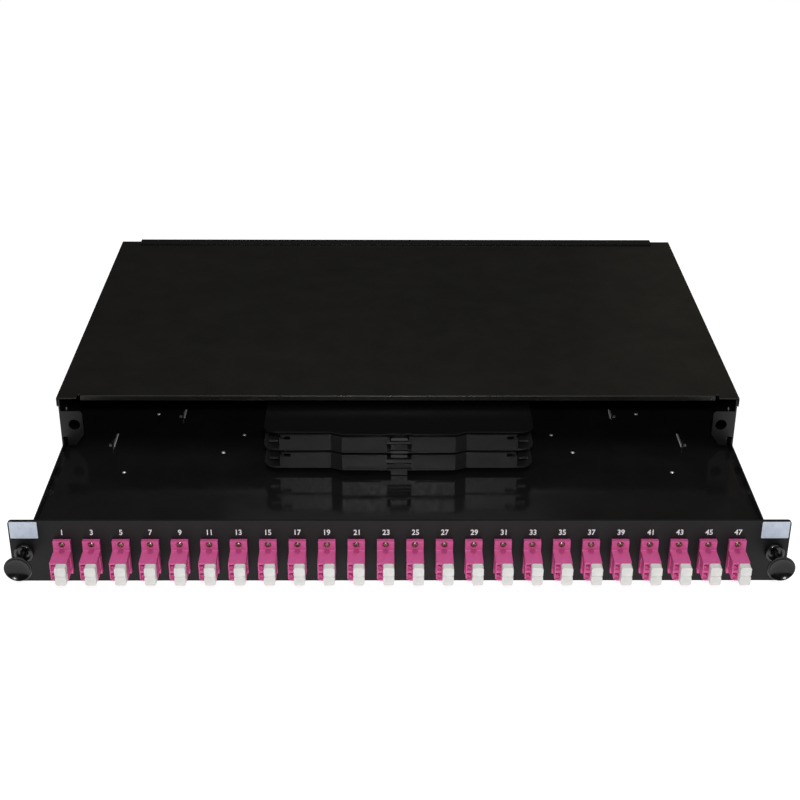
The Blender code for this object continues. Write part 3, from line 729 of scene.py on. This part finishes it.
for number in range(1, ADAPTER_COUNT + 1):
    node = f"adapter_{number:02d}"
    low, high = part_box(node)
    centre = Vector(((low.x + high.x) / 2, PANEL_FRONT, high.z - FLANGE_RISE))
    adapter = new_object(f"lc_adapter_{number:02d}", ADAPTER_MESH)
    adapter.location = centre
    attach(adapter, DRAWER)
    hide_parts(node)
    cap_node = f"dust_cap_{number:02d}"
    cap = new_object(f"twin_cap_{number:02d}", CAP_MESH)
    cap.location = centre + Vector((PORT_X, 0.0, 0.0))
    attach(cap, cap_node if cap_node in CAP_BODIES else DRAWER)
    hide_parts(cap_node)
    screw = new_object(f"adapter_screw_{number:02d}", SCREW_MESH)
    screw_y = FLANGE_FRONT + SCREW_SEAT_DEPTH - SCREW_SINK
    screw.location = centre + Vector((0.0, screw_y, SCREW_Z))
    screw.rotation_euler = (0.0, number * SCREW_TURN_STEP, 0.0)
    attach(screw, DRAWER)


# ---------------------------------------------------------------- plungers


def plunger_mesh():
    """Dished head on a flared neck, with the stem that passes through the grommet."""
    points = [
        (0.0, 17.6),
        (2.6, 17.8),
        (4.9, 18.4),
        (6.6, 19.2),
        (7.6, 19.95),
        (8.05, 20.4),
        (8.4, 20.4),
        (8.6, 20.0),
        (8.5, 19.5),
        (7.9, 19.0),
        (6.4, 18.1),
        (5.0, 17.0),
        (4.0, 16.0),
        (3.3, 14.6),
        (3.0, 13.0),
        (3.0, 12.6),
        (2.2, 11.9),
        (2.2, -4.2),
        (1.1, -5.0),
        (0.0, -5.0),
    ]
    mesh = lathed([(r * MM, d * MM) for r, d in points], 64)
    mesh.materials.append(PLUNGER_BLACK)
    return smooth_by_angle(mesh, PLUNGER_SMOOTH_ANGLE)


def grommet_mesh():
    """Cupped rim in front of the panel and a plain barrel behind it."""
    points = [
        (4.35, 3.3),
        (4.7, 3.65),
        (5.3, 3.7),
        (5.8, 3.4),
        (6.0, 2.7),
        (6.0, 0.6),
        (5.9, 0.3),
        (3.8, 0.3),
        (3.8, -6.6),
        (3.4, -7.5),
        (2.6, -7.5),
        (2.6, 1.5),
        (4.2, 1.5),
        (4.35, 3.3),
    ]
    mesh = lathed([(r * MM, d * MM) for r, d in points], 48)
    mesh.materials.append(GLOSS_BLACK)
    return smooth_by_angle(mesh, GROMMET_SMOOTH_ANGLE)


PLUNGER_MESH = plunger_mesh()
GROMMET_MESH = grommet_mesh()
for side in ("left", "right"):
    low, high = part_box(f"plunger_{side}")
    centre = Vector(((low.x + high.x) / 2, PANEL_FRONT, (low.z + high.z) / 2))
    knob = new_object(f"push_knob_{side}", PLUNGER_MESH)
    knob.location = centre
    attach(knob, f"plunger_{side}")
    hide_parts(f"plunger_{side}")
    sleeve = new_object(f"knob_sleeve_{side}", GROMMET_MESH)
    sleeve.location = centre
    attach(sleeve, DRAWER)
    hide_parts(f"grommet_{side}")


# ---------------------------------------------------------------- print and labels

NUMBER_SIZE = 5.3 * MM
NUMBER_NARROWING = 0.89
NUMBER_X = 0.25 * MM
NUMBER_Z = 35.6 * MM
PRINT_THICKNESS = 0.06 * MM
PRINT_WEIGHT = 0.08 * MM
LABEL_THICKNESS = 0.16 * MM
LABELS = {"left": (-240.4 * MM, -223.3 * MM), "right": (223.4 * MM, 240.4 * MM)}
LABEL_LOW_Z = 31.3 * MM
LABEL_HIGH_Z = 43.1 * MM
LABEL_CORNER = 0.5 * MM


def printed_number(number, at):
    """A raised print of the port number, centred on a point of the panel."""
    text = bpy.data.curves.new(f"port_number_{number:02d}", "FONT")
    text.body = str(number)
    text.size = NUMBER_SIZE
    text.align_x = "CENTER"
    text.align_y = "CENTER"
    text.extrude = PRINT_THICKNESS
    text.offset = PRINT_WEIGHT
    guide = bpy.data.objects.new("text", text)
    bpy.context.scene.collection.objects.link(guide)
    mesh = frozen(guide)
    bpy.data.objects.remove(guide, do_unlink=True)
    xs = [v.co.x for v in mesh.vertices]
    ys = [v.co.y for v in mesh.vertices]
    middle = Vector(((min(xs) + max(xs)) / 2, (min(ys) + max(ys)) / 2, 0.0))
    narrow = Matrix.Diagonal((NUMBER_NARROWING, 1.0, 1.0, 1.0))
    mesh.transform(Matrix.Rotation(math.pi / 2, 4, "X") @ narrow @ Matrix.Translation(-middle))
    piece = new_object(f"port_number_{number:02d}", mesh, PRINT_WHITE)
    piece.location = at
    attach(piece, DRAWER)


for index in range(1, ADAPTER_COUNT + 1):
    low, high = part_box(f"adapter_{index:02d}")
    printed_number(2 * index - 1, ((low.x + high.x) / 2 + NUMBER_X, PANEL_FRONT, NUMBER_Z))

for side, (left, right) in LABELS.items():
    outline = rounded_rectangle((left, LABEL_LOW_Z), (right, LABEL_HIGH_Z), LABEL_CORNER, 3)
    film = extruded(outline, "Y", PANEL_FRONT - LABEL_THICKNESS, PANEL_FRONT)
    label = new_object(f"label_{side}", film, LABEL_FILM)
    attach(label, DRAWER)


# ---------------------------------------------------------------- splice trays

# All in millimetres, y behind the panel.
TRAY_FRONT = 127.0
TRAY_STEP = 3.7
TRAY_REAR = 260.0
TRAY_HALF = 94.5
TRAY_REAR_RADIUS = 12.0
TRAY_FRONT_RADIUS = 9.0
NOSE_HALF = 39.5
NOSE_SLOPE = 7.8
NOSE_INSET_SHARE = 0.2
CHEEK_HALF = 82.0
CHEEK_DEPTH = 16.0
CHEEK_BREAK = 3.0
FLOOR_THICKNESS = 1.4
WALL_START = 0.2
WALL_THICKNESS = 1.7
TRAY_BEVEL = 0.2
# How far a ledge leans back for its height, and how deep it reaches into the wall behind it.
LEDGE_LEAN = 0.36
LEDGE_ROOT = 1.2
# Faces larger than this, in square metres, are shaded flat.
WALL_AREA = 6e-5


def tray_outline(inset, cheek, round_front):
    """The tray from above: stepped nose, then round front corners or cheeks cut back, round rear corners."""
    right = TRAY_HALF - inset
    rear = TRAY_REAR - inset
    step = TRAY_FRONT + TRAY_STEP + inset
    radius = TRAY_REAR_RADIUS - inset
    half = [
        (NOSE_HALF - inset * NOSE_INSET_SHARE, TRAY_FRONT + inset),
        (NOSE_HALF + NOSE_SLOPE - inset * NOSE_INSET_SHARE, step),
    ]
    if round_front:
        half += arc((right - round_front, step + round_front), round_front, -90, 0, 8)
    else:
        bend = step + CHEEK_DEPTH
        half += [(cheek, step), (cheek, bend), (right - CHEEK_BREAK, bend + CHEEK_BREAK)]
    half += arc((right - radius, rear - radius), radius, 0, 90, 8)
    points = half + [(-x, y) for x, y in reversed(half)]
    return [(x * MM, PANEL_FRONT + y * MM) for x, y in points]


def span(x0, x1, y0, y1, z0, z1):
    """A block from millimetres: x across, y behind the panel, z up."""
    low = (min(x0, x1) * MM, PANEL_FRONT + y0 * MM, z0 * MM)
    high = (max(x0, x1) * MM, PANEL_FRONT + y1 * MM, z1 * MM)
    return block(low, high)


def flat_walls(mesh):
    """The mesh with its large faces shaded flat, so that the bends between them stay crisp."""
    normals = [corner.vector.copy() for corner in mesh.corner_normals]
    for polygon in mesh.polygons:
        if polygon.area > WALL_AREA:
            for corner in polygon.loop_indices:
                normals[corner] = polygon.normal.copy()
    mesh.normals_split_custom_set(normals)
    return mesh


def ramp(x0, x1, front, z0, z1):
    """A ledge whose front face leans back and catches the light, set back from the nose by front."""
    low, high = TRAY_FRONT + front, TRAY_FRONT + front + (z1 - z0) * LEDGE_LEAN
    back = max(high, TRAY_FRONT) + LEDGE_ROOT
    outline = ((low, z0), (high, z1), (back, z1), (back, z0))
    outline = [(PANEL_FRONT + y * MM, z * MM) for y, z in outline]
    return extruded(outline, "X", min(x0, x1) * MM, max(x0, x1) * MM)


def splice_tray(name, node, bottom, top, window, ledges, latch):
    """A tray with round floor corners, cut-back walls, a window and shelf each side, and a front latch."""
    z0, z1 = bottom * MM, top * MM
    floor_top = z0 + FLOOR_THICKNESS * MM
    floor = tray_outline(0.0, CHEEK_HALF, TRAY_FRONT_RADIUS)
    tray = Carving(extruded(floor, "Z", z0, floor_top))
    outside = tray_outline(0.0, CHEEK_HALF, None)
    inside = tray_outline(WALL_THICKNESS, CHEEK_HALF - WALL_THICKNESS, None)
    wall = Carving(extruded(outside, "Z", z0 + WALL_START * MM, z1))
    wall.cut(extruded(inside, "Z", floor_top, z1 + 5 * MM))
    tray.add(wall.done())
    nose = TRAY_FRONT
    cheek = TRAY_FRONT + TRAY_STEP
    sill, head = window
    foot = bottom + 0.3
    for side in (-1, 1):
        # The window, the post at its outer end, the shelf beyond it, and a ledge along the nose's foot.
        tray.cut(span(side * 75.6, side * 84.0, cheek - 1.0, cheek + 2.6, sill, head))
        tray.add(span(side * 81.6, side * 83.2, cheek - 0.3, cheek + 2.0, bottom + 0.4, sill + 1.2))
        tray.add(span(side * 84.2, side * 90.2, cheek + 1.0, cheek + 19.0, sill - 2.4, sill - 0.6))
        tray.add(ramp(side * 12.0, side * 39.2, -0.5, bottom + 0.8, bottom + 2.2))
    # The latch's opening in the nose, the wall behind it, and a rail each side.
    tray.cut(span(-8.1, 9.0, nose - 1.0, nose + 2.6, bottom + 1.0, top + 5.0))
    tray.add(span(-3.0, 3.6, nose + 2.0, nose + 3.6, foot, top))
    for side in (-1, 1):
        edge = 0.4 + side * 8.5
        tray.add(span(edge, edge + side * 1.9, nose - 0.3, nose + 3.2, foot, top - 3.0))
    for x0, x1, z_low, z_high, front in ledges:
        tray.add(ramp(x0, x1, front, z_low, z_high))
    for x0, x1, z_low, z_high, front in latch:
        tray.add(span(x0, x1, nose + front, nose + 3.2, z_low, z_high))
    mesh = flat_walls(tray.done(TRAY_BEVEL * MM, 2, name))
    piece = new_object(name, mesh, TRAY_PLASTIC)
    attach(piece, DRAWER)
    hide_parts(node)


# Latch ledges and blocks: x from, x to, z from, z to, set back from the nose.
UPPER_LEDGES = (
    (-5.3, 6.2, 30.5, 32.2, -0.5),
    (-8.2, 9.0, 27.9, 29.2, -0.5),
    (-5.5, 6.1, 20.6, 22.1, -0.6),
)
UPPER_LATCH = (
    (-8.0, -6.4, 29.4, 33.0, -0.2),
    (7.2, 8.8, 29.4, 33.0, -0.2),
    (-5.5, 6.1, 23.0, 27.0, 0.2),
)
LOWER_LEDGES = (
    (-5.5, 6.1, 17.0, 18.7, -0.2),
    (-8.2, 9.0, 14.0, 15.5, -0.8),
)
LOWER_LATCH = (
    (-8.2, 9.0, 12.2, 13.5, 0.5),
    (-8.2, 9.0, 8.0, 10.9, 1.4),
    (-5.5, 6.1, 2.9, 7.7, -0.1),
)

# Each tray: bottom, top, its windows' sill and head, ledges, latch blocks.
LOWER_TRAY = (6.6, 18.9, (15.6, 18.0), LOWER_LEDGES, LOWER_LATCH)
UPPER_TRAY = (20.6, 33.0, (29.1, 31.6), UPPER_LEDGES, UPPER_LATCH)
splice_tray("splice_cassette_lower", "splice_tray_lower", *LOWER_TRAY)
splice_tray("splice_cassette_upper", "splice_tray_upper", *UPPER_TRAY)

LID_LOW = 32.95
LID_HIGH = 35.2
LID_BEVEL = 0.4 * MM
lid_outline = tray_outline(0.0, CHEEK_HALF, TRAY_FRONT_RADIUS)
lid = Carving(extruded(lid_outline, "Z", LID_LOW * MM, LID_HIGH * MM))
lid.cut(span(-8.4, 9.2, TRAY_FRONT - 1.0, TRAY_FRONT + 1.0, LID_LOW - 1.0, LID_HIGH + 1.0))
lid_mesh = lid.done(name="splice_lid")
# The rounded rim takes the second, brighter finish as a painted highlight along the lid's edges.
lid_mesh.materials.clear()
for lid_finish in (LID_PLASTIC, TRAY_PLASTIC):
    lid_mesh.materials.append(lid_finish)
lid_mesh = flat_walls(softened(lid_mesh, LID_BEVEL, 3, 1))
lid_piece = new_object("splice_cassette_lid", lid_mesh, LID_PLASTIC, TRAY_PLASTIC)
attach(lid_piece, DRAWER)
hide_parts("splice_tray_lid")


# ---------------------------------------------------------------- floor, light, camera


FLOOR_HALF_WIDTH = 12.0
FLOOR_GLOW = 0.90

# Each light: name, place, target, size, power in watts, colour.
WHITE = (1.0, 1.0, 1.0)
WARM = (1.0, 0.88, 0.70)
LIGHTS = (
    ("front", (0.0, -1.10, 0.655), (0.0, -0.20, 0.02), (0.10, 0.06), 6.2, WHITE),
    ("overhead", (0.0, -0.15, 1.9), (0.0, -0.15, 0.0), (2.4, 1.6), 21.0, WHITE),
    ("rear_card", (0.0, 1.60, 1.28), (0.0, -0.25, 0.0), (0.70, 0.25), 0.072, WHITE),
    ("warm_card", (0.75, 2.00, 0.95), (0.15, 0.05, 0.04), (0.50, 0.40), 0.075, WARM),
)
WORLD_COLOUR = (1.0, 0.97, 0.92, 1.0)
WORLD_STRENGTH = 0.03


def studio_floor():
    """A wide pale floor just under the object, glowing a little so that it reads as plain white."""
    bm = bmesh.new()
    bmesh.ops.create_grid(bm, x_segments=1, y_segments=1, size=FLOOR_HALF_WIDTH)
    floor = new_object("studio_floor", mesh_from(bm))
    floor.location = (0.0, 0.0, cad_box[0].z)
    finish = Finish("floor_paper", (0.40, 0.40, 0.40), 0.9, specular=0.1)
    finish.set("Emission Color", (1.0, 1.0, 1.0, 1.0))
    finish.set("Emission Strength", FLOOR_GLOW)
    floor.data.materials.append(finish.material)


def area_light(name, at, target, size, power, colour):
    """A rectangular soft light aimed at a point."""
    light = bpy.data.lights.new(name, "AREA")
    light.shape = "RECTANGLE"
    light.size, light.size_y = size
    light.energy = power
    light.color = colour
    obj = bpy.data.objects.new(name, light)
    bpy.context.scene.collection.objects.link(obj)
    obj.location = at
    obj.rotation_mode = "QUATERNION"
    obj.rotation_quaternion = (Vector(target) - Vector(at)).to_track_quat("-Z", "Y")


def studio():
    """A compact front light beside the viewpoint, a soft overhead, and dim cards that the gloss picks up."""
    studio_floor()
    for light in LIGHTS:
        area_light(*light)
    world = bpy.data.worlds.new("studio")
    bpy.context.scene.world = world
    world.use_nodes = True
    background = world.node_tree.nodes["Background"]
    background.inputs["Color"].default_value = WORLD_COLOUR
    background.inputs["Strength"].default_value = WORLD_STRENGTH


# Angles in degrees, sensor and lens in millimetres.
CAMERA_AT = (-0.0089, -1.1100, 0.5323)
CAMERA_PITCH = 27.17
CAMERA_YAW = -0.60
CAMERA_ROLL = 0.30
SENSOR = 36.0
LENS = 67.76


def camera():
    """The viewpoint: in front, slightly left of the middle, looking down on the cover."""
    data = bpy.data.cameras.new("camera")
    data.sensor_width = SENSOR
    data.lens = LENS
    data.clip_start = 0.01
    data.clip_end = 60.0
    obj = bpy.data.objects.new("camera", data)
    bpy.context.scene.collection.objects.link(obj)
    turn = Matrix.Rotation(math.radians(CAMERA_YAW), 4, "Z")
    tilt = Matrix.Rotation(math.radians(90.0 - CAMERA_PITCH), 4, "X")
    roll = Matrix.Rotation(math.radians(CAMERA_ROLL), 4, "Z")
    obj.matrix_world = Matrix.Translation(CAMERA_AT) @ turn @ tilt @ roll
    bpy.context.scene.camera = obj


studio()
camera()
bpy.context.scene.view_settings.view_transform = "Standard"
